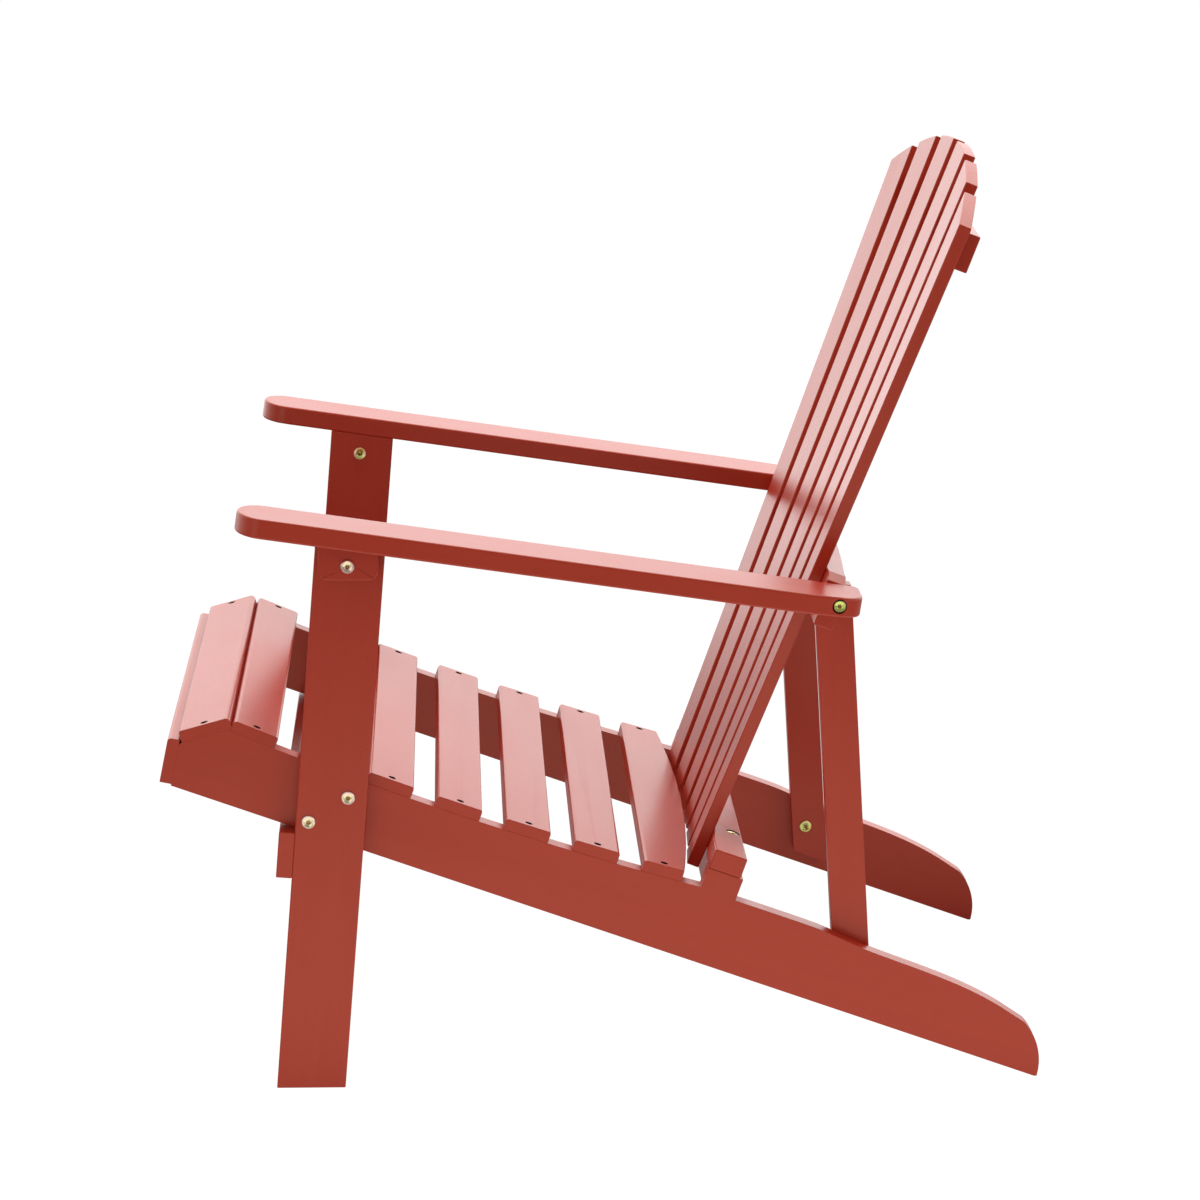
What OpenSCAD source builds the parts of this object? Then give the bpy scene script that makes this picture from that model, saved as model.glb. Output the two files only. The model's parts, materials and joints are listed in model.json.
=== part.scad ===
// Adirondack chair in painted wood: two seat rails that run down to the ground as
// rear legs, two front legs, arms on brackets, rear posts and a fanned slat back.
// Millimetres. +Z up, the chair faces -Y, +X is the sitter's left.
// Origin: middle of the footprint, on the ground.

/* [Stock] */
// Thickness of the rails, legs, arms, posts and brackets
board_t = 20; // [18:0.5:22]
// Thickness of the seat slats
slat_t = 12; // [11:0.5:13]
// Thickness of the back slats
back_t = 13; // [12:0.5:14]
// Width of one seat slat
slat_w = 48; // [44:0.5:50]

/* [Seat] */
// Width over the two seat rails
seat_w = 560; // [540:5:600]
// Slope of the seat rails, degrees down to the rear
rail_slope = 19.65; // [19.3:0.05:20]
// Height of the lower front corner of the seat
nose_z = 320; // [316:0.5:325]
// Distance from one seat slat to the next
slat_pitch = 73.2; // [70:0.2:73.4]
// How much wider each gap between the seat slats is than the one in front of it
slat_spread = 0.15; // [0:0.05:0.2]

/* [Legs and arms] */
// Width of a front leg
leg_w = 70; // [60:1:75]
// Backward lean of the front legs, degrees
leg_lean = 4.5; // [4:0.1:5]
// Width of an arm
arm_w = 70; // [65:1:80]
// Height of the arm's top above the toe of the front leg
arm_z = 603.5; // [598:0.5:610]
// Slope of the arms, degrees down to the rear
arm_slope = 8.1; // [7.8:0.1:8.4]
// Width of a rear post
post_w = 37.5; // [35:0.5:39]

/* [Back] */
// Lean of the back, degrees from upright
back_lean = 20.6; // [20.3:0.1:20.9]
// Half width of the back where it meets the arms
back_half_w = 244; // [236:1:248]
// Growth of that half width for each millimetre up the back
fan = 0.133; // [0.11:0.001:0.14]
// Gap between two back slats at the arms
back_gap = 22.5; // [18:0.5:26]
// Depth of the hollow that the back slats make across the back, at the arms
back_hollow = 9; // [6:0.5:10]
// Growth of that hollow for each millimetre up the back, above the arms
back_bend = 0.0085; // [0:0.0005:0.01]
// Length of the middle back slats above the arms
back_top = 470; // [460:0.5:480]
// Radius of the rounded top of the back
crown_r = 760; // [680:10:900]

/* [Hidden] */
$fn = 48;
eps = 0.01;
paint = [0.62, 0.24, 0.20];
paint_slat = [0.70, 0.32, 0.27];
zinc = [0.80, 0.68, 0.36];

// Side view: the toe of the front leg is at y = 0 before the chair is centred.
seat_x = seat_w / 2;
rail_in = seat_x - board_t;
leg_x = seat_x + board_t;
nose = [-115.2, nose_z];
foot_c = [891.5, -4.6];
foot_r = 63.2;
foot_back = nose[0] + foot_c[0] * cos(rail_slope) + foot_c[1] * sin(rail_slope) + foot_r;
mid_y = (nose[0] + foot_back) / 2;

// Seat rail, measured along the rail (u) and up from its lower edge (v)
first_slat_u = 50;
seat_low = [275, 67.3];
seat_r = 4000;
tooth = [555.5, 593.5];
tooth_v = 98.5;
nose_back = [11.9, 1.7];
nose_turn = 98.1;
crest_low = [8.2, 46.4];
crest_turn = 35.3;
crest_w = 52.6;
nose_w = 47;
last_w = 42.5;
last_bulge = 13.5;

// Lower back rail, between the back slats and the teeth
block_h = 21.5;
block_back = 590.5;
block_end = 556;
slat_clear = 0.3;
rear_str = [573.5, 50.5];
stretch_w = 48;
front_str_t = 16;
front_str_l = 224;

// Arms
arm_front = 31.5;
arm_len = 594.8;
arm_nose_r = 26;
arm_in_r = 9;
arm_out_r = 24;
arm_taper = 5;
arm_cut_z = arm_z - board_t / cos(arm_slope);
bracket = [47.9, 536.3];
bracket_w = 60;
bracket_r = 10;
post_foot_y = 580.2;
post_lean = 3.73;
post_foot_v = 15;
post_top_drop = 4;

// Back frame: x across, n rearward, s up the slats
back_at = [534, 502.8];
slat_foot = -315;
slat_skin = 3.5;
bend_s = 40;
slat_reach = 60;
crown_x = 7;
block_s = -281;
block_u = 545.3;
n_slats = 6;
half_share = 1 / n_slats - back_gap / back_half_w * (n_slats - 1) / (2 * n_slats);
arm_rail_s = -12.5;
arm_rail_h = 49.5;
arm_rail_x = 303;
arm_rail_flat = 262;
arm_rail_fall = 6;
arm_rail_t = 20;
upper_s = 366.5;
upper_h = 38.5;
upper_x = 275;
upper_t = 14;

// Fasteners
bolt_d = 6;
head_d = 13.6;
head_h = 2.2;
head_rim = 0.8;
arm_head_d = 12.6;
arm_sink = 0.3;
head_play = 2;
nut_d = 9;
nut_l = 14;
hex_d = 5;
screw_d = 4;
screw_head = [7.6, 2.6];
screw_hole = 8;
screw_sink = 6;
hole_play = 0.4;
through = 60;
arm_bore = 48;
post_bore = 38;
slat_hole_x = seat_x - 9;
seat_screw_l = 32;
block_screw_l = 30;
leg_bolts_at = [[183.5, 52.5], [154.2, 15.5]];
bracket_bolt_at = [77.2, 550.7];
post_bolt_at = [729, 48];
arm_bolt_at = [24, 21];
block_bolt_at = [190, 581];
dowel_d = 8;
dowel_l = 30;
dowel_v = [62, 86];

// ---- outlines ------------------------------------------------------------

function arc(c, r, a0, a1, n = 12) =
    [for (i = [0:n]) let (a = a0 + (a1 - a0) * i / n) [c[0] + r * cos(a), c[1] + r * sin(a)]];

function spline_at(a, b, c, d, t) =
    0.5 * (2 * b + (c - a) * t + (2 * a - 5 * b + 4 * c - d) * t * t
    + (3 * b - a - 3 * c + d) * t * t * t);

// A smooth curve from the second point of the list to the last but one
function curve(p, n = 5) =
    [for (i = [1:len(p) - 3]) for (j = [0:n - 1])
        spline_at(p[i - 1], p[i], p[i + 1], p[i + 2], j / n)];

function seat_v(u) = seat_low[1] + pow(u - seat_low[0], 2) / (2 * seat_r);
function slat_u(k) = first_slat_u + slat_pitch * (k - 1) + slat_spread * (k - 1) * (k - 1) / 2;
function slat_width(k) = k == 7 ? last_w : slat_w;

// Half width of the back at height s, and its hollow there at x
function back_half(s) = back_half_w + fan * s;
function hollow(x, s) =
    (back_hollow + back_bend * max(s - bend_s, 0)) * (1 - pow(x / back_half(s), 2));

// Where each seat slat sits on the rail: [u, v, turn]
function slat_place(k) =
    k == -1 ? [nose_back[0], nose_back[1], nose_turn] :
    k == 0 ? [crest_low[0], crest_low[1], crest_turn] :
    let (u = slat_u(k), v = seat_v(u), w = slat_width(k))
    [u, v, atan((seat_v(u + w) - v) / w)];

// ---- frames --------------------------------------------------------------

module chair() {
    translate([0, -mid_y, 0]) children();
}

// Extrudes a side view (y, z) from x0 to x1
module across(x0, x1) {
    translate([x0, 0, 0]) rotate([90, 0, 90]) linear_extrude(x1 - x0) children();
}

// Lays out (u, v) of the seat rail in the side view
module on_rail() {
    translate(nose) rotate(-rail_slope) children();
}

// The same in space, with x across the chair
module rail_frame() {
    translate([0, nose[0], nose[1]]) rotate([-rail_slope, 0, 0]) children();
}

module back_frame() {
    translate([0, back_at[0], back_at[1]]) rotate([-back_lean, 0, 0]) children();
}

module arm_frame() {
    translate([0, 0, arm_z]) rotate([-arm_slope, 0, 0]) children();
}

module both() {
    children();
    mirror([1, 0, 0]) children();
}

module side(s) {
    if (s > 0) children();
    if (s < 0) mirror([1, 0, 0]) children();
}

// ---- fasteners -----------------------------------------------------------

// Bolt along +X from z = 0 under its head, with a hex socket
module bolt(l, d = head_d) {
    rotate([0, 90, 0]) difference() {
        union() {
            cylinder(d = bolt_d, h = l);
            translate([0, 0, head_rim - head_h]) cylinder(d = d, h = head_h - head_rim);
            translate([0, 0, -head_h]) cylinder(d1 = d - 2 * head_rim, d2 = d, h = head_rim);
        }
        translate([0, 0, -head_h - eps]) cylinder(d = hex_d, h = 2, $fn = 6);
    }
}

// Threaded insert along +X, open at both ends
module insert_nut() {
    rotate([0, 90, 0]) difference() {
        cylinder(d = nut_d, h = nut_l);
        translate([0, 0, -eps]) cylinder(d = bolt_d, h = nut_l + 2 * eps);
    }
}

// Countersunk screw along -Z, the top of its head at z = 0
module screw(l) {
    difference() {
        union() {
            translate([0, 0, -l]) cylinder(d = screw_d, h = l);
            translate([0, 0, -screw_head[1]]) cylinder(d1 = screw_d, d2 = screw_head[0], h = screw_head[1]);
        }
        translate([0, 0, -1.4]) cylinder(d = 3, h = 2, $fn = 6);
    }
}

// Hole for a screw that goes along -Z: counterbore, then a clear hole
module screw_bore(depth, sink = screw_sink) {
    translate([0, 0, -sink]) cylinder(d = screw_hole, h = sink + 1);
    translate([0, 0, -depth]) cylinder(d = screw_d + hole_play, h = depth);
}

// Hole for a bolt along +X, and the wider one for its insert
module bolt_bore(l) {
    rotate([0, 90, 0]) translate([0, 0, -1]) cylinder(d = bolt_d + hole_play, h = l + 2);
}

module insert_bore() {
    rotate([0, 90, 0]) translate([0, 0, -eps]) cylinder(d = nut_d, h = nut_l + eps);
}

// ---- where the fasteners go ----------------------------------------------

// Left leg bolts, at the leg's outer face
module at_leg_bolts() {
    for (p = leg_bolts_at)
        rail_frame() translate([leg_x, p[0], p[1]]) children();
}

module at_post_bolt() {
    rail_frame() translate([rail_in, post_bolt_at[0], post_bolt_at[1]]) children();
}

module at_bracket_bolt() {
    translate([leg_x + board_t, bracket_bolt_at[0], bracket_bolt_at[1]]) children();
}

module at_arm_bolt() {
    back_frame() translate([seat_x, arm_bolt_at[0], arm_bolt_at[1]]) children();
}

// Top face of the lower back rail
module at_block_bolt() {
    rail_frame() translate([block_bolt_at[0], block_bolt_at[1], tooth_v + block_h]) children();
}

// Top face of seat slat k, at its left screw
module at_seat_screw(k) {
    p = slat_place(k);
    w = k > 0 ? slat_width(k) : k == 0 ? crest_w : nose_w;
    rail_frame() translate([0, p[0], p[1]]) rotate([p[2], 0, 0])
        translate([slat_hole_x, w / 2, slat_t]) children();
}

module at_all_seat_screws() {
    for (k = [-1:7]) at_seat_screw(k) children();
}

// Front face of the front stretcher, at its left screws
module at_stretcher_screws() {
    for (l = [12, stretch_w - 12])
        rotate([-leg_lean, 0, 0]) translate([seat_x + board_t / 2, -front_str_t, front_str_l + l])
            rotate([90, 0, 0]) children();
}

// Rear face of a cross rail of the back, behind slat k: screws go forward
module at_back_screw(k, s, n) {
    x = slat_mid(k) * back_half(s);
    back_frame() translate([x, n + hollow(x, s), s]) rotate([-90, 0, 0]) children();
}

module at_post_screw() {
    back_frame() translate([seat_x - board_t - board_t / 2, arm_bolt_at[0] + 27.5, 5])
        rotate([-90, 0, 0]) children();
}

// Underside of the arm bracket: screws go up into the arm
module at_arm_screws() {
    for (y = [15, bracket_w - 15])
        translate([leg_x + board_t / 2, bracket[0] + y, bracket[1]]) rotate([180, 0, 0]) children();
}

module at_dowels() {
    for (v = dowel_v)
        rail_frame() translate([rail_in, rear_str[0] + board_t / 2, v]) rotate([0, 90, 0]) children();
}

// ---- seat rails ----------------------------------------------------------

module rail_outline() {
    seat_line = [for (k = [1:7]) for (u = [slat_u(k), slat_u(k) + slat_width(k)]) [u, seat_v(u)]];
    tail = curve([[548, 75], [tooth[1], 75.2], [640, 75.4], [684, 75], [716, 72.2], [745, 69.9],
        [806, 68.3], [842, 66.3], [872, 62.6], [898, 57.3], [921, 51]]);
    difference() {
        on_rail() polygon(concat(
            [[12.1, 0], [6, 43], crest_low,
                crest_low + crest_w * [cos(crest_turn), sin(crest_turn)]],
            seat_line,
            [[tooth[0], seat_v(tooth[0])], [tooth[0], tooth_v], [tooth[1], tooth_v]],
            tail,
            arc(foot_c, foot_r, 62, -5, 20),
            [[nose_z / sin(rail_slope), 0]]));
        translate([600, -100]) square([400, 100]);
    }
}

module seat_rail(s) {
    color(paint) chair() side(s) difference() {
        across(rail_in, seat_x) rail_outline();
        at_all_seat_screws() screw_bore(seat_screw_l + screw_sink + 1);
        at_leg_bolts() mirror([1, 0, 0]) bolt_bore(board_t * 2 - 6);
        at_leg_bolts() translate([-board_t, 0, 0]) mirror([1, 0, 0]) insert_bore();
        at_post_bolt() insert_bore();
        at_dowels() translate([0, 0, -1]) cylinder(d = dowel_d, h = dowel_l / 2 + 1);
    }
}

// ---- front legs, brackets, arms ------------------------------------------

function leg_top(y0) = (arm_cut_z - y0 * tan(arm_slope)) / (1 + tan(arm_slope) * tan(leg_lean));

module leg_outline() {
    back = leg_w / cos(leg_lean);
    t = tan(leg_lean);
    polygon([[0, 0], [back, 0], [back + t * leg_top(back), leg_top(back)], [t * leg_top(0), leg_top(0)]]);
}

module front_leg(s) {
    color(paint) chair() side(s) difference() {
        across(seat_x, leg_x) leg_outline();
        at_leg_bolts() mirror([1, 0, 0]) bolt_bore(board_t);
        at_bracket_bolt() mirror([1, 0, 0]) bolt_bore(board_t * 2);
        translate([seat_x, bracket_bolt_at[0], bracket_bolt_at[1]]) insert_bore();
        at_stretcher_screws() screw_bore(front_str_t + seat_screw_l);
    }
}

module bracket_outline() {
    y0 = bracket[0];
    y1 = y0 + bracket_w;
    z0 = bracket[1];
    t = tan(arm_slope);
    polygon(concat(
        arc([y0 + bracket_r, z0 + bracket_r], bracket_r, 180, 270),
        arc([y1 - bracket_r, z0 + bracket_r], bracket_r, 270, 360),
        [[y1, arm_cut_z - t * y1], [y0, arm_cut_z - t * y0]]));
}

module arm_bracket(s) {
    color(paint) chair() side(s) difference() {
        across(leg_x, leg_x + board_t) bracket_outline();
        at_bracket_bolt() mirror([1, 0, 0]) bolt_bore(board_t * 2);
        at_arm_screws() screw_bore(arm_bore);
    }
}

// Left arm from above: (x, l), with l along the arm
module arm_outline() {
    x1 = seat_x + arm_w;
    mid = seat_x + arm_w / 2;
    front = [for (a = [180:10:360]) [mid + arm_w / 2 * cos(a), arm_nose_r - arm_front + arm_nose_r * sin(a)]];
    end = arm_len - arm_out_r;
    out_edge = curve([[x1, end - 104], [x1, end - 69], [x1 - 0.6, end - 39], [x1 - arm_taper / 2, end - 14],
        [x1 - arm_taper, end], [x1 - arm_taper - 3, end + 12]]);
    polygon(concat(
        front,
        out_edge,
        arc([x1 - arm_taper - arm_out_r, end], arm_out_r, 0, 90),
        arc([seat_x + arm_in_r, arm_len - arm_in_r], arm_in_r, 90, 180)));
}

module arm(s) {
    color(paint) chair() side(s) difference() {
        arm_frame() translate([0, 0, -board_t]) linear_extrude(board_t) arm_outline();
        at_arm_bolt() bolt_bore(arm_w);
        at_arm_bolt() translate([arm_w - arm_taper - arm_sink - head_h, 0, 0]) rotate([0, 90, 0])
            cylinder(d = arm_head_d + head_play, h = arm_w);
        at_arm_screws() screw_bore(arm_bore);
    }
}

// ---- rear posts ----------------------------------------------------------

module post_outline() {
    intersection() {
        translate([post_foot_y, 0]) rotate(post_lean) square([post_w, 600]);
        on_rail() translate([400, post_foot_v]) square([500, 700]);
        translate([0, arm_z - post_top_drop]) rotate(-arm_slope) translate([400, -600]) square([400, 600]);
    }
}

module rear_post(s) {
    color(paint) chair() side(s) difference() {
        across(rail_in - board_t, rail_in) post_outline();
        // seat for the arm-level back rail, open to the front
        back_frame() translate([0, -100, arm_rail_s])
            cube([rail_in + 1, 100 + back_t + slat_clear + arm_rail_t, 100]);
        at_post_bolt() translate([-board_t, 0, 0]) bolt_bore(board_t);
        at_post_screw() screw_bore(through);
    }
}

// ---- stretchers ----------------------------------------------------------

module front_stretcher() {
    color(paint) chair() difference() {
        across(-leg_x, leg_x) rotate(-leg_lean) translate([-front_str_t, front_str_l])
            square([front_str_t, stretch_w]);
        both() at_stretcher_screws() screw_bore(through);
    }
}

module rear_stretcher() {
    color(paint) chair() difference() {
        across(-rail_in, rail_in) on_rail() translate(rear_str) square([board_t, stretch_w]);
        both() at_block_bolt() translate([0, 0, -block_h]) rotate([0, 90, 0]) insert_bore();
        both() at_block_bolt() rotate([0, 90, 0]) bolt_bore(through);
        both() at_dowels() translate([0, 0, -dowel_l / 2]) cylinder(d = dowel_d, h = dowel_l);
    }
}

// ---- seat slats ----------------------------------------------------------

// Slat from its end: width along x, the top edges rounded by r0 (front) and r1 (rear)
module slat_end(w, r0, r1) {
    polygon(concat(
        [[w, 0]],
        arc([w - r1, slat_t - r1], r1, 0, 90, 6),
        arc([r0, slat_t - r0], r0, 90, 180, 6),
        [[0, 0]]));
}

module seat_board(k, w, r0, r1) {
    p = slat_place(k);
    rail_frame() translate([0, p[0], p[1]]) rotate([p[2], 0, 0])
        across(-seat_x, seat_x) slat_end(w, r0, r1);
}

module nose_slat() {
    color(paint_slat) chair() difference() {
        seat_board(-1, nose_w, 1, 4);
        both() at_seat_screw(-1) screw_bore(through);
    }
}

module crest_slat() {
    color(paint_slat) chair() difference() {
        seat_board(0, crest_w, 2, 4.5);
        both() at_seat_screw(0) screw_bore(through);
    }
}

// Rear edge of the last seat slat, bowed to follow the back
module last_slat() {
    p = slat_place(7);
    bow = [for (i = [-10:10]) let (x = seat_x * i / 10) [x, last_w + last_bulge * (1 - pow(i / 10, 2))]];
    rail_frame() translate([0, p[0], p[1]]) rotate([p[2], 0, 0]) {
        linear_extrude(slat_t) polygon(concat([[seat_x, 3], [-seat_x, 3]], bow));
        across(-seat_x, seat_x) slat_end(last_w - 8, 3, 0.5);
    }
}

module seat_slat(k) {
    color(paint_slat) chair() difference() {
        if (k == 7) last_slat();
        else seat_board(k, slat_w, k == 1 ? 4 : 3, 3);
        both() at_seat_screw(k) screw_bore(through);
    }
}

// ---- back ----------------------------------------------------------------

// Middle of back slat k as a share of the half width, from -1 (right) to 1 (left)
function slat_mid(k) = (2 * k - n_slats - 1) * (1 - half_share) / (n_slats - 1);

// Front view of a back slat, and its thickness from the side: the bend is above the arms
module back_slat_face() {
    low = slat_foot - 20;
    high = back_top + 20;
    foot_w = half_share * back_half(low);
    top_w = half_share * back_half(high);
    polygon([[-foot_w, low], [foot_w, low], [top_w, high], [-top_w, high]]);
}

module back_slat_side(bend) {
    low = slat_foot - 20;
    high = back_top + 20;
    back = bend * (high - bend_s);
    polygon([[0, low], [back_t, low], [back_t, bend_s], [back + back_t, high], [back, high], [0, bend_s]]);
}

module back_slat(k) {
    m = slat_mid(k);
    depth = 1 - (pow(m - half_share, 2) + pow(m + half_share, 2)) / 2;
    n = back_hollow * depth;
    color(paint_slat) chair() back_frame() difference() {
        intersection() {
            translate([m * back_half_w, n, 0]) rotate([0, atan(fan * m), 0])
                rotate([0, 0, -atan(2 * back_hollow * m / back_half_w)]) intersection() {
                    across(-slat_reach, slat_reach) back_slat_side(back_bend * depth);
                    rotate([90, 0, 0]) translate([0, 0, -slat_reach]) linear_extrude(2 * slat_reach)
                        back_slat_face();
                }
            translate([crown_x, -50, back_top - crown_r]) rotate([-90, 0, 0])
                cylinder(r = crown_r, h = 150, $fn = 180);
            translate([-500, -50, slat_foot]) cube([1000, 150, 1000]);
        }
        for (s = [block_s, arm_rail_s + arm_rail_h / 2, upper_s + upper_h / 2])
            translate([m * back_half(s), hollow(m * back_half(s), s) + slat_skin, s]) rotate([-90, 0, 0])
                cylinder(d = screw_d + hole_play, h = 60);
    }
}

// Plan of a cross rail of the back, bowed behind the slats at height s: (x, n)
module bowed_plan(x_end, x_flat, s, t) {
    steps = 16;
    front = [for (i = [-steps:steps]) let (x = x_flat * i / steps) [x, back_t + slat_clear + hollow(x, s)]];
    n_end = back_t + slat_clear + hollow(x_flat, s);
    back = [for (i = [steps:-1:-steps]) front[i + steps] + [0, t]];
    polygon(concat([[-x_end, n_end]], front, [[x_end, n_end], [x_end, n_end + t]], back, [[-x_end, n_end + t]]));
}

module arm_back_rail() {
    x1 = arm_rail_x;
    top = arm_rail_s + arm_rail_h;
    fall = arm_rail_fall * (x1 - seat_x) / (seat_x - arm_rail_flat);
    color(paint) chair() difference() {
        back_frame() intersection() {
            translate([0, 0, arm_rail_s]) linear_extrude(arm_rail_h)
                bowed_plan(x1, back_half_w, 0, arm_rail_t);
            translate([0, 100, 0]) rotate([90, 0, 0]) linear_extrude(200)
                polygon([[-x1, arm_rail_s], [x1, arm_rail_s], [x1, top - arm_rail_fall - fall],
                    [arm_rail_flat, top], [-arm_rail_flat, top], [-x1, top - arm_rail_fall - fall]]);
        }
        both() arm_frame() translate([seat_x, 400, -board_t]) cube([100, 300, 100]);
        both() at_arm_bolt() mirror([1, 0, 0]) insert_bore();
        both() at_post_screw() screw_bore(post_bore);
        for (k = [1:n_slats])
            at_back_screw(k, arm_rail_s + arm_rail_h / 2, back_t + slat_clear + arm_rail_t) screw_bore(through);
    }
}

module upper_back_rail() {
    s = upper_s + upper_h / 2;
    color(paint) chair() difference() {
        back_frame() translate([0, 0, upper_s]) linear_extrude(upper_h)
            bowed_plan(upper_x, upper_x - 4, s, upper_t);
        for (k = [1:n_slats]) at_back_screw(k, s, back_t + slat_clear + upper_t) screw_bore(through, 2);
    }
}

// Plan of the lower back rail: (x, u)
module block_plan() {
    half_w = back_half(block_s);
    hollow_edge = [for (i = [-12:12]) let (x = half_w * i / 12)
        [x, block_u + back_t + slat_clear + hollow(x, block_s)]];
    polygon(concat(
        [[-seat_x, block_end], [-half_w - 30, block_end]],
        hollow_edge,
        [[half_w + 30, block_end], [seat_x, block_end], [seat_x, block_back], [-seat_x, block_back]]));
}

module lower_back_rail() {
    color(paint) chair() difference() {
        rail_frame() translate([0, 0, tooth_v]) linear_extrude(block_h) block_plan();
        both() at_block_bolt() rotate([0, 90, 0]) bolt_bore(through);
        both() at_block_bolt() translate([0, 0, -head_h - 1]) cylinder(d = head_d + 1, h = 10);
        for (k = [1:n_slats]) at_block_screw(k) screw_bore(through, block_sink(k) + screw_head[1]);
    }
}

// How deep the screw behind back slat k is sunk, to end 4 mm under the slat's face
function block_sink(k) =
    let (x = slat_mid(k) * back_half(block_s))
    block_back - block_u - hollow(x, block_s) - 4 - block_screw_l;

// Rear face of the lower back rail, behind back slat k: screws go forward
module at_block_screw(k) {
    x = slat_mid(k) * back_half(block_s);
    rail_frame() translate([x, block_back, tooth_v + block_h / 2]) rotate([-90, 0, 0]) children();
}

// ---- fasteners as nodes --------------------------------------------------

module leg_bolts() {
    color(zinc) chair() both() at_leg_bolts() mirror([1, 0, 0]) bolt(board_t + nut_l - 1);
}

module bracket_bolts() {
    color(zinc) chair() both() at_bracket_bolt() mirror([1, 0, 0]) bolt(board_t + 16);
}

module post_bolts() {
    color(zinc) chair() both() at_post_bolt() translate([-board_t, 0, 0]) bolt(board_t + nut_l - 1);
}

module arm_bolts() {
    reach = arm_w - arm_taper - arm_sink;
    color(zinc) chair() both() at_arm_bolt() translate([reach, 0, 0]) mirror([1, 0, 0])
        translate([head_h, 0, 0]) bolt(reach - head_h + nut_l - 1, arm_head_d);
}

module lower_rail_bolts() {
    color(zinc) chair() both() at_block_bolt() translate([0, 0, -head_h - 1])
        rotate([0, 90, 0]) bolt(block_h + nut_l - head_h - 2);
}

module insert_nuts() {
    color(zinc) chair() both() {
        at_leg_bolts() translate([-board_t, 0, 0]) mirror([1, 0, 0]) insert_nut();
        at_post_bolt() insert_nut();
        at_arm_bolt() mirror([1, 0, 0]) insert_nut();
        at_block_bolt() translate([0, 0, -block_h]) rotate([0, 90, 0]) insert_nut();
    }
}

// Flanged sleeve nuts in the legs' inner faces, under the arms
module sleeve_nuts() {
    color(zinc) chair() both() translate([seat_x, bracket_bolt_at[0], bracket_bolt_at[1]]) {
        insert_nut();
        translate([-1.5, 0, 0]) rotate([0, 90, 0]) difference() {
            cylinder(d = head_d, h = 1.5);
            translate([0, 0, -1]) cylinder(d = bolt_d, h = 3);
            translate([0, 0, -eps]) cylinder(d1 = 9.4, d2 = bolt_d, h = 1.4);
        }
    }
}

module seat_screws() {
    color(zinc) chair() both() at_all_seat_screws() translate([0, 0, -screw_sink + screw_head[1]])
        screw(seat_screw_l);
}

module stretcher_screws() {
    color(zinc) chair() both() at_stretcher_screws() translate([0, 0, -1]) screw(seat_screw_l + 8);
}

module back_screws() {
    color(zinc) chair() for (k = [1:n_slats]) {
        at_back_screw(k, arm_rail_s + arm_rail_h / 2, back_t + slat_clear + arm_rail_t)
            translate([0, 0, -2.4]) screw(24);
        at_back_screw(k, upper_s + upper_h / 2, back_t + slat_clear + upper_t) screw(20);
        at_block_screw(k) translate([0, 0, -block_sink(k)]) screw(block_screw_l);
    }
}

module post_screws() {
    color(zinc) chair() both() at_post_screw() translate([0, 0, -2.4]) screw(30);
}

module arm_screws() {
    color(zinc) chair() both() at_arm_screws() translate([0, 0, -2.4]) screw(44);
}

module dowels() {
    color("burlywood") chair() both() at_dowels() translate([0, 0, -dowel_l / 2])
        cylinder(d = dowel_d, h = dowel_l);
}

seat_rail(1);  // seat_rail_left
seat_rail(-1);  // seat_rail_right
front_leg(1);  // front_leg_left
front_leg(-1);  // front_leg_right
arm_bracket(1);  // arm_bracket_left
arm_bracket(-1);  // arm_bracket_right
arm(1);  // arm_left
arm(-1);  // arm_right
rear_post(1);  // rear_post_left
rear_post(-1);  // rear_post_right
front_stretcher();
rear_stretcher();
nose_slat();
crest_slat();
seat_slat(1);  // seat_slat_1
seat_slat(2);  // seat_slat_2
seat_slat(3);  // seat_slat_3
seat_slat(4);  // seat_slat_4
seat_slat(5);  // seat_slat_5
seat_slat(6);  // seat_slat_6
seat_slat(7);  // seat_slat_7
lower_back_rail();
arm_back_rail();
upper_back_rail();
back_slat(1);  // back_slat_1
back_slat(2);  // back_slat_2
back_slat(3);  // back_slat_3
back_slat(4);  // back_slat_4
back_slat(5);  // back_slat_5
back_slat(6);  // back_slat_6
leg_bolts();
bracket_bolts();
post_bolts();
arm_bolts();
lower_rail_bolts();
insert_nuts();
sleeve_nuts();
seat_screws();
stretcher_screws();
back_screws();
post_screws();
arm_screws();
dowels();
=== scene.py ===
import json
import math

import bmesh
import bpy
import numpy as np
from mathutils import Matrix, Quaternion, Vector


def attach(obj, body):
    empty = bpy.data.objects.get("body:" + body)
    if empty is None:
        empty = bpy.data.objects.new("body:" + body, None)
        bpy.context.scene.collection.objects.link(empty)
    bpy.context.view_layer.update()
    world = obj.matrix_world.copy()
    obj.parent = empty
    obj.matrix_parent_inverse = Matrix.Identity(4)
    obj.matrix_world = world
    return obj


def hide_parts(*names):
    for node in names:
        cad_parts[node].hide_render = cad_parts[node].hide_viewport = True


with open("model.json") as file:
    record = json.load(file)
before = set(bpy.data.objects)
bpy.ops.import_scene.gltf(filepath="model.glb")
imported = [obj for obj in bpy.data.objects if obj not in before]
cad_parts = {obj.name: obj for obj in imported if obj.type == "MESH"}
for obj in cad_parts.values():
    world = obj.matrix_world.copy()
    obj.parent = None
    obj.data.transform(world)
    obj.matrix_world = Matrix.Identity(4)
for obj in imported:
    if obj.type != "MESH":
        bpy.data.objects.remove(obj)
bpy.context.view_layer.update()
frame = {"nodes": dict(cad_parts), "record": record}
SLOT = {s["node"]: s["material_slot"] for s in frame["record"]["subparts"]}

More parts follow.
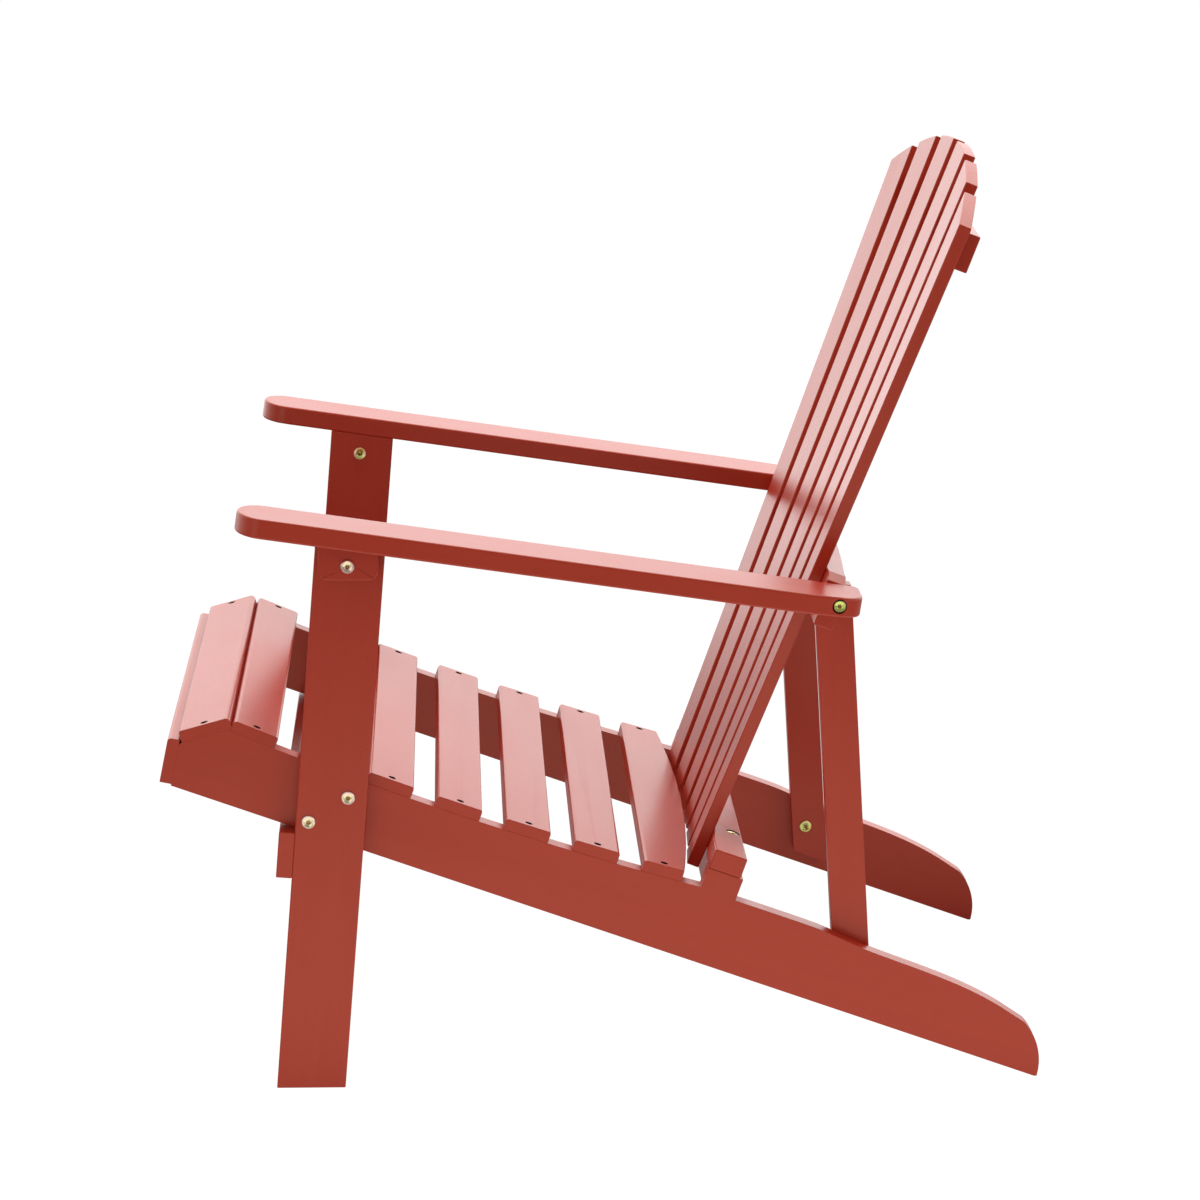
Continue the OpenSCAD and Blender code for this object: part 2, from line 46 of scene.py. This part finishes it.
# The camera, in metres in the chair's frame, almost square to the sitter's left side.
CAMERA_AT = (4.2173, -0.1590, 1.4048)
CAMERA_DOWN = 12.85      # degrees below the horizon
CAMERA_REARWARD = 2.15   # degrees from the -X direction towards the rear of the chair
CAMERA_ROLL = 0.3        # degrees about the X axis, with the camera's right side going up
CAMERA_LENS = 120.84     # mm
CAMERA_SENSOR = 36       # mm
CAMERA_REACH = 100       # m

# How far the edges of a board are rounded over, in metres: along the grain, and across it.
# A node takes the first row that its name starts with.
ROUND_OVERS = (
    ("seat_slat_1", 0.0013, 0.00005),
    ("seat_slat", 0.0013, 0.0004),
    ("crest_slat", 0.0013, 0.00005),
    ("nose_slat", 0.0012, 0.00005),
    ("seat_rail", 0.0002, 0.0002),
    ("back_slat", 0.0012, 0.0010),
    ("lower_back_rail", 0.0016, 0.0014),
    ("arm_left", 0.0020, 0.0020),
    ("arm_right", 0.0020, 0.0020),
    ("", 0.0012, 0.0010),
)
ROUND_SEGMENTS = 3
ALONG_GRAIN = math.cos(math.radians(25))   # an edge this close to the grain runs along it
HOLE_SPAN = 0.024        # m; a smaller ring of sharp edges is the rim of a hole
SHARP = math.radians(30)  # an edge that turns further than this is sharp
FLAT = math.radians(0.2)  # faces that differ by less than this are made one
WELD = 0.00001           # m; points closer than this are made one

# Each board starts at its own place in the pattern: somewhere in this length of it along the grain,
# and this much further across it than the board before.
PATTERN_LENGTH = 7       # m
PATTERN_STEP = 0.37      # m
GOLDEN = (math.sqrt(5) - 1) / 2

# The red of the paint, from the darkest bands of the grain to the lightest, its light flecks, and
# the tint of its reflections.
PAINT_REDS = (
    (0.32, (0.398, 0.0262, 0.0104)),
    (0.52, (0.415, 0.0280, 0.0115)),
    (0.72, (0.430, 0.0296, 0.0125)),
)
PAINT_FLECKS = (0.50, 0.050, 0.025, 1)
PAINT_SHEEN = (1.0, 0.88, 0.68, 1)

# Yellow zinc runs from rosy cream at 0 to yellow-green at 1.
ZINC_HUES = (
    (0.0, (0.95, 0.70, 0.62)),
    (0.30, (0.92, 0.76, 0.55)),
    (0.62, (0.78, 0.76, 0.26)),
    (1.0, (0.62, 0.72, 0.14)),
)
ZINC_TINT = {"leg_bolts": 0.18, "bracket_bolts": 0.12, "arm_bolts": 0.85, "post_bolts": 0.72}
ZINC_TINT_OTHERS = 0.45
ZINC_GROOVES = (0.55, 0.42, 0.26, 1)
ZINC_SOCKET = (0.60, 0.40, 0.17, 1)
YELLOW_FADES = (0.0038, 0.0046)   # m from the axis: the centre of a head is yellower
SOCKET_FADES = (0.0027, 0.0031)   # m from the axis: a head's socket lies inside this
SOCKET_STARTS = (0.0002, 0.0006)  # m below the top of the head
RIM = 0.95               # the rim of a head lies beyond this part of the greatest radius


# ---- nodes ---------------------------------------------------------------

class Nodes:
    """A material's node tree, with short calls for the nodes used here."""

    def __init__(self, name):
        self.made = bpy.data.materials.new(name)
        self.made.use_nodes = True
        self.tree = self.made.node_tree
        self.shader = self.tree.nodes["Principled BSDF"]

    def node(self, kind, inputs=(), **settings):
        new = self.tree.nodes.new("ShaderNode" + kind)
        for key, value in settings.items():
            setattr(new, key, value)
        for key, value in dict(inputs).items():
            if isinstance(value, bpy.types.NodeSocket):
                self.tree.links.new(value, new.inputs[key])
            else:
                new.inputs[key].default_value = value
        return new

    def attribute(self, name):
        return self.node("Attribute", attribute_name=name).outputs["Vector"]

    def stretched(self, vector, by):
        return self.node("VectorMath", {0: vector, 1: by}, operation="MULTIPLY").outputs[0]

    def noise(self, vector, scale, detail=3.0, roughness=0.55):
        made = self.node("TexNoise", {"Vector": vector, "Scale": scale, "Detail": detail,
                                      "Roughness": roughness})
        return made.outputs["Fac"]

    def ranged(self, value, low, high, to_low, to_high):
        made = self.node("MapRange", {"Value": value, "From Min": low, "From Max": high,
                                      "To Min": to_low, "To Max": to_high})
        return made.outputs["Result"]

    def maths(self, operation, a, b):
        return self.node("Math", {0: a, 1: b}, operation=operation).outputs[0]

    def ramp(self, value, *stops):
        made = self.node("ValToRGB", {"Fac": value})
        held = made.color_ramp.elements
        while len(held) < len(stops):
            held.new(0.5)
        for element, (place, colour) in zip(held, stops):
            element.position = place
            element.color = (*colour, 1)
        return made.outputs["Color"]

    def mixed(self, factor, a, b):
        made = self.tree.nodes.new("ShaderNodeMix")
        made.data_type = "RGBA"
        for key, value in ((0, factor), (6, a), (7, b)):
            if isinstance(value, bpy.types.NodeSocket):
                self.tree.links.new(value, made.inputs[key])
            else:
                made.inputs[key].default_value = value
        return made.outputs[2]

    def bump(self, height, distance, normal=None):
        made = self.node("Bump", {"Height": height, "Distance": distance})
        if normal:
            self.tree.links.new(normal, made.inputs["Normal"])
        return made.outputs["Normal"]

    def shade(self, **inputs):
        for key, value in inputs.items():
            socket = self.shader.inputs[key.replace("_", " ")]
            if isinstance(value, bpy.types.NodeSocket):
                self.tree.links.new(value, socket)
            else:
                socket.default_value = value
        return self.made


def red_paint():
    """Satin brick-red paint on wood: faint fibres, soft grain bands and a fine sprayed speckle."""
    n = Nodes("red_paint")
    place = n.attribute("grain")
    fibres = n.noise(n.stretched(place, (7, 520, 520)), 1.0, 4.0, 0.6)
    bands = n.noise(n.stretched(place, (1.6, 75, 75)), 1.0, 3.0, 0.5)
    cloud = n.noise(n.stretched(place, (6, 26, 26)), 1.0, 3.0)
    speckle = n.noise(place, 1400.0, 2.0, 0.7)
    tone = n.maths("ADD", n.maths("MULTIPLY", cloud, 0.5), n.maths("MULTIPLY", bands, 0.5))
    colour = n.ramp(tone, *PAINT_REDS)
    flecked = n.mixed(n.ranged(fibres, 0.60, 0.85, 0.0, 0.25), colour, PAINT_FLECKS)
    rough = n.maths("ADD", n.ranged(cloud, 0.3, 0.7, 0.285, 0.315),
                    n.ranged(speckle, 0.3, 0.7, -0.03, 0.03))
    ridges = n.bump(bands, 0.00006)
    lines = n.bump(fibres, 0.00002, normal=ridges)
    grains = n.bump(speckle, 0.000010, normal=lines)
    return n.shade(Base_Color=flecked, Roughness=rough, IOR=1.5, Normal=grains,
                   Specular_Tint=PAINT_SHEEN)


def bore():
    """The wall of a drilled hole, painted near black as the shade deep inside it."""
    n = Nodes("bore")
    place = n.attribute("grain")
    fibres = n.noise(n.stretched(place, (300, 900, 900)), 1.0)
    colour = n.ramp(fibres, (0.3, (0.010, 0.004, 0.003)), (0.7, (0.030, 0.010, 0.007)))
    return n.shade(Base_Color=colour, Roughness=n.ranged(fibres, 0.3, 0.7, 0.8, 0.95), IOR=1.3,
                   Normal=n.bump(fibres, 0.0001))


def zinc():
    """Yellow-passivated zinc: iridescent, with a turned face and a browner socket."""
    n = Nodes("yellow_zinc")
    split = n.node("SeparateXYZ", {0: n.attribute("turned")})
    radius, depth, tint = split.outputs
    film = n.noise(n.node("NewGeometry").outputs["Position"], 170.0, 2.0)
    centre = n.ranged(radius, *YELLOW_FADES, 0.30, 0.0)
    hue = n.maths("ADD", n.ranged(film, 0.3, 0.7, -0.25, 0.25), n.maths("ADD", tint, centre))
    colour = n.ramp(hue, *ZINC_HUES)
    turning = n.noise(n.node("CombineXYZ", {0: radius}).outputs[0], 2600.0, 2.0)
    face = n.mixed(n.ranged(turning, 0.35, 0.65, 0.0, 0.35), colour, ZINC_GROOVES)
    inside = n.maths("MULTIPLY", n.ranged(depth, *SOCKET_STARTS, 0.0, 1.0),
                     n.ranged(radius, *SOCKET_FADES, 1.0, 0.0))
    shown = n.mixed(inside, face, ZINC_SOCKET)
    rough = n.maths("ADD", n.ranged(turning, 0.3, 0.7, 0.22, 0.36),
                    n.maths("MULTIPLY", inside, 0.3))
    return n.shade(Base_Color=shown, Metallic=1.0, Roughness=rough, Normal=n.bump(turning, 0.00003))


def bare_wood():
    """The pale beech of a dowel, with fibres along it."""
    n = Nodes("dowel_wood")
    place = n.node("NewGeometry").outputs["Position"]
    fibres = n.noise(n.stretched(place, (900, 900, 60)), 1.0, 4.0)
    colour = n.ramp(fibres, (0.3, (0.42, 0.25, 0.12)), (0.7, (0.62, 0.42, 0.23)))
    return n.shade(Base_Color=colour, Roughness=n.ranged(fibres, 0.3, 0.7, 0.6, 0.8),
                   Normal=n.bump(fibres, 0.0001))


# ---- pieces --------------------------------------------------------------

def principal(points):
    """The middle of some points and their directions of greatest, middle and least spread."""
    middle = points.mean(axis=0)
    return middle, np.linalg.svd(points - middle, full_matrices=False)[2]


def welded(node):
    """The mesh of a CAD node, with the points that lie on each other made one."""
    bm = bmesh.new()
    bm.from_mesh(frame["nodes"][node].data)
    bmesh.ops.remove_doubles(bm, verts=bm.verts, dist=WELD)
    return bm


def joined_up(items, neighbours):
    """Groups of items that can be reached from one another."""
    left, groups = set(items), []
    while left:
        ends = [left.pop()]
        group = list(ends)
        while ends:
            near = {other for other in neighbours(ends.pop()) if other in left}
            left -= near
            ends.extend(near)
            group.extend(near)
        groups.append(group)
    return groups


def span(edges):
    """The longest side of the box round some edges."""
    points = [v.co for e in edges for v in e.verts]
    return max(max(p[i] for p in points) - min(p[i] for p in points) for i in range(3))


def piece_of(node, bm, ending, *materials):
    """A visible piece made of a mesh, on the chair's one body, in place of a CAD node."""
    mesh = bpy.data.meshes.new(node + ending)
    bm.to_mesh(mesh)
    bm.free()
    for made in materials:
        mesh.materials.append(made)
    mesh.shade_smooth()
    mesh.set_sharp_from_angle(angle=SHARP)
    piece = bpy.data.objects.new(node + ending, mesh)
    bpy.context.scene.collection.objects.link(piece)
    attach(piece, "root")
    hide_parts(node)
    return piece


def paint_hole_shade(bm, rings):
    """Gives the faces inside the holes the second material, a near-black painted shade, from each
    ring of edges inwards.
    """
    rims = {e for ring in rings for e in ring}
    inside = []
    for ring in rings:
        round_it = {v for e in ring for v in e.verts}
        if len(round_it) != len(ring):
            continue         # a shallow recess that runs out at the board's edge
        axis = Vector(principal(np.array([v.co for v in round_it]))[1][2])
        for edge in ring:
            wall = min(edge.link_faces, key=lambda f: abs(f.normal.dot(axis)))
            if wall.material_index == 0:
                wall.material_index = 1
                inside.append(wall)
    while inside:
        for edge in inside.pop().edges:
            for face in edge.link_faces:
                if edge not in rims and face.material_index == 0:
                    face.material_index = 1
                    inside.append(face)


def board(node, number, paint, hole_shade):
    """A board with the shape of the CAD node, its edges rounded over and the walls of its holes
    painted near black as shade.
    """
    bm = welded(node)
    bmesh.ops.dissolve_limit(bm, angle_limit=FLAT, verts=bm.verts, edges=bm.edges)
    middle, (grain, across, through) = principal(np.array([v.co for v in bm.verts]))
    along, ends = next(row[1:] for row in ROUND_OVERS if node.startswith(row[0]))
    weight = bm.edges.layers.float.new("bevel_weight_edge")
    sharp = {e for e in bm.edges
             if len(e.link_faces) == 2 and e.calc_face_angle_signed() > SHARP}
    rings = []
    for group in joined_up(sharp, lambda e: [o for v in e.verts for o in v.link_edges]):
        if span(group) < HOLE_SPAN:
            rings.append(group)
            continue
        for edge in group:
            direction = (edge.verts[1].co - edge.verts[0].co).normalized()
            with_grain = abs(direction.dot(Vector(grain))) > ALONG_GRAIN
            edge[weight] = 1.0 if with_grain else ends / along
    # the walls of small holes take the second material, a near-black painted shade
    paint_hole_shade(bm, rings)
    piece = piece_of(node, bm, "_board", paint, hole_shade)
    rounding = piece.modifiers.new("round over", "BEVEL")
    rounding.limit_method = "WEIGHT"
    rounding.width = along
    rounding.segments = ROUND_SEGMENTS
    rounding.use_clamp_overlap = False
    rounding.face_strength_mode = "FSTR_ALL"
    flat = piece.modifiers.new("flat faces", "WEIGHTED_NORMAL")
    flat.keep_sharp = True
    flat.use_face_influence = True
    seen = piece.evaluated_get(bpy.context.evaluated_depsgraph_get())
    piece.data = bpy.data.meshes.new_from_object(seen)
    piece.modifiers.clear()
    # Where each point is along the grain, across it and through the board, for the paint
    points = np.empty(3 * len(piece.data.vertices), dtype=np.float32)
    piece.data.vertices.foreach_get("co", points)
    place = (points.reshape(-1, 3) - middle) @ np.array((grain, across, through)).T
    place += (number * GOLDEN % 1 * PATTERN_LENGTH, number * PATTERN_STEP, 0)
    layer = piece.data.attributes.new("grain", "FLOAT_VECTOR", "POINT")
    layer.data.foreach_set("vector", place.astype(np.float32).ravel())


def hardware(node, metal):
    """Bolts, screws or nuts as packed. Each point knows its distance from the axis and the head."""
    bm = welded(node)
    turned = bm.verts.layers.float_vector.new("turned")
    for verts in joined_up(bm.verts, lambda v: [e.other_vert(v) for e in v.link_edges]):
        points = np.array([v.co for v in verts])
        middle, (axis, _, _) = principal(points)
        along = (points - middle) @ axis
        radius = np.linalg.norm(points - middle - np.outer(along, axis), axis=1)
        if along[radius > RIM * radius.max()].mean() < (along.max() + along.min()) / 2:
            along = -along
        tint = ZINC_TINT.get(node, ZINC_TINT_OTHERS)
        for v, r, a in zip(verts, radius, along):
            v[turned] = (r, along.max() - a, tint)
    piece_of(node, bm, "_metal", metal)


def build():
    """Every board, its hardware and the dowels, which keep their CAD shape."""
    paint, hole_shade, metal, wood = red_paint(), bore(), zinc(), bare_wood()
    for number, node in enumerate(sorted(frame["nodes"])):
        if SLOT[node] == "red_painted_wood":
            board(node, number, paint, hole_shade)
        elif SLOT[node] == "yellow_zinc":
            hardware(node, metal)
        else:
            held = frame["nodes"][node].data.materials
            held.clear()
            held.append(wood)


# ---- floor, light, camera ------------------------------------------------

FLOOR_RADIUS = 4.0       # m
FLOOR_GREY = 0.26        # what the floor gives back to the chair
FLOOR_WHITE = 0.96       # how much of what the camera sees of the floor is plain white
WHITE_STRENGTH = 1.05    # of that plain white
GLOW_FAR = 1.98          # the white wall behind the chair, on its right
GLOW_NEAR = 0.26         # the dim side of the studio, where the camera is
GLOW_CURVE = 1.4         # how fast one gives way to the other
POOL = 0.92              # the brighter pool of light on the floor beside the chair
POOL_AT = (1.0, 0.15, 0)  # m
POOL_REACH = (0.7, 1.3)  # m, where it starts to fade and where it ends
LAMPS_AIM = (0, 0, 0.4)  # m
SOFTBOXES = (            # place and size in m, power in W
    ((-0.9, 0.3, 2.6), 2.4, 29.0),
    ((1.6, 2.6, 1.6), 1.6, 9.0),
    ((2.6, -1.8, 0.9), 1.6, 8.0),
)


def floor():
    """A round pale floor that lights the chair from below and looks white to the camera."""
    bpy.ops.mesh.primitive_circle_add(vertices=128, radius=FLOOR_RADIUS, fill_type="NGON")
    disc = bpy.context.object
    disc.name = "floor"
    n = Nodes("pale_floor")
    n.shade(Base_Color=(FLOOR_GREY, FLOOR_GREY, FLOOR_GREY, 1), Roughness=0.9)
    place = n.node("TexCoord").outputs["Object"]
    away = n.node("VectorMath", {0: place, 1: POOL_AT}, operation="DISTANCE").outputs["Value"]
    pool = n.node("Emission", {"Strength": n.ranged(away, *POOL_REACH, POOL, 0.0)})
    lit = n.node("AddShader", {0: n.shader.outputs[0], 1: pool.outputs[0]})
    white = n.node("Emission", {"Strength": WHITE_STRENGTH})
    seen = n.maths("MULTIPLY", n.node("LightPath").outputs["Is Camera Ray"], FLOOR_WHITE)
    both = n.node("MixShader", {0: seen, 1: lit.outputs[0], 2: white.outputs[0]})
    n.tree.links.new(both.outputs[0], n.tree.nodes["Material Output"].inputs["Surface"])
    disc.data.materials.append(n.made)


def studio():
    """White all round: bright behind the chair, dim on the camera's side, plain as a backdrop."""
    world = bpy.data.worlds.new("studio")
    world.use_nodes = True
    tree = world.node_tree
    towards = tree.nodes.new("ShaderNodeTexCoord")
    split = tree.nodes.new("ShaderNodeSeparateXYZ")
    side = tree.nodes.new("ShaderNodeMapRange")
    curve = tree.nodes.new("ShaderNodeMath")
    glow = tree.nodes.new("ShaderNodeMapRange")
    path = tree.nodes.new("ShaderNodeLightPath")
    shown = tree.nodes.new("ShaderNodeMix")
    tree.links.new(towards.outputs["Generated"], split.inputs[0])
    tree.links.new(split.outputs["X"], side.inputs["Value"])
    for key, value in (("From Min", 1), ("From Max", -1)):
        side.inputs[key].default_value = value
    curve.operation = "POWER"
    curve.inputs[1].default_value = GLOW_CURVE
    tree.links.new(side.outputs["Result"], curve.inputs[0])
    tree.links.new(curve.outputs["Value"], glow.inputs["Value"])
    for key, value in (("To Min", GLOW_NEAR), ("To Max", GLOW_FAR)):
        glow.inputs[key].default_value = value
    tree.links.new(path.outputs["Is Camera Ray"], shown.inputs[0])
    tree.links.new(glow.outputs["Result"], shown.inputs[2])
    shown.inputs[3].default_value = 1.0
    back = tree.nodes["Background"]
    back.inputs["Color"].default_value = (1, 1, 1, 1)
    tree.links.new(shown.outputs[0], back.inputs["Strength"])
    bpy.context.scene.world = world


def softboxes():
    for place, size, watts in SOFTBOXES:
        data = bpy.data.lights.new("softbox", "AREA")
        data.size = size
        data.energy = watts
        lamp = bpy.data.objects.new("softbox", data)
        bpy.context.scene.collection.objects.link(lamp)
        lamp.location = place
        aim = Vector(LAMPS_AIM) - Vector(place)
        lamp.rotation_euler = aim.to_track_quat("-Z", "Y").to_euler()


def camera():
    scene = bpy.context.scene
    data = bpy.data.cameras.new("camera")
    data.lens = CAMERA_LENS
    data.sensor_width = CAMERA_SENSOR
    data.clip_end = CAMERA_REACH
    holder = bpy.data.objects.new("camera", data)
    scene.collection.objects.link(holder)
    holder.location = CAMERA_AT
    down, rear = math.radians(CAMERA_DOWN), math.radians(CAMERA_REARWARD)
    looking = Vector((-math.cos(down) * math.cos(rear), math.cos(down) * math.sin(rear),
                      -math.sin(down)))
    level = looking.to_track_quat("-Z", "Y")
    holder.rotation_euler = (Quaternion((1, 0, 0), math.radians(CAMERA_ROLL)) @ level).to_euler()
    scene.camera = holder


build()
floor()
studio()
softboxes()
camera()
bpy.context.scene.view_settings.view_transform = "Standard"
